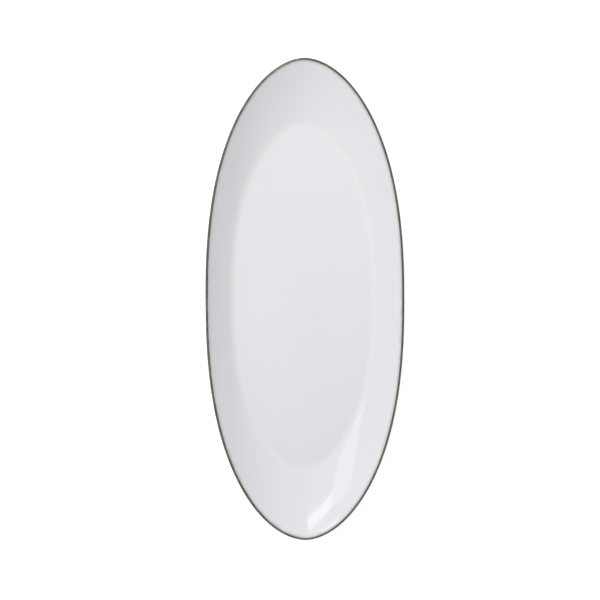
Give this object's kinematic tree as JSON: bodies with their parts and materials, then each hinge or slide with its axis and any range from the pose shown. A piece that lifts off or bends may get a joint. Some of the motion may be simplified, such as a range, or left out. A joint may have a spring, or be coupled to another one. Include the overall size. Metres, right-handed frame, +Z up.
{
  "type": "oval serving platter",
  "caption": "Long oval china serving platter with a flat well, a sloping wall, a bare brown-grey lip and an oval foot.",
  "frame": {"origin": "middle of the foot's underside, in the plane that the platter stands on", "axes": "+X along the length, +Y across the width, +Z up out of the well"},
  "size_m": [0.35, 0.144, 0.025],
  "materials": {
    "bare_china": "unglazed, fine-grained and matt",
    "white_glaze": "gloss, cool white",
    "lip_band": "brown-grey oxide, satin"
  },
  "bodies": {
    "root": {"clay_body": "bare_china", "foot_ring": "bare_china", "well_glaze": "white_glaze", "rim_band": "lip_band", "wall_glaze": "white_glaze", "base_glaze": "white_glaze"}
  },
  "joints": []
}
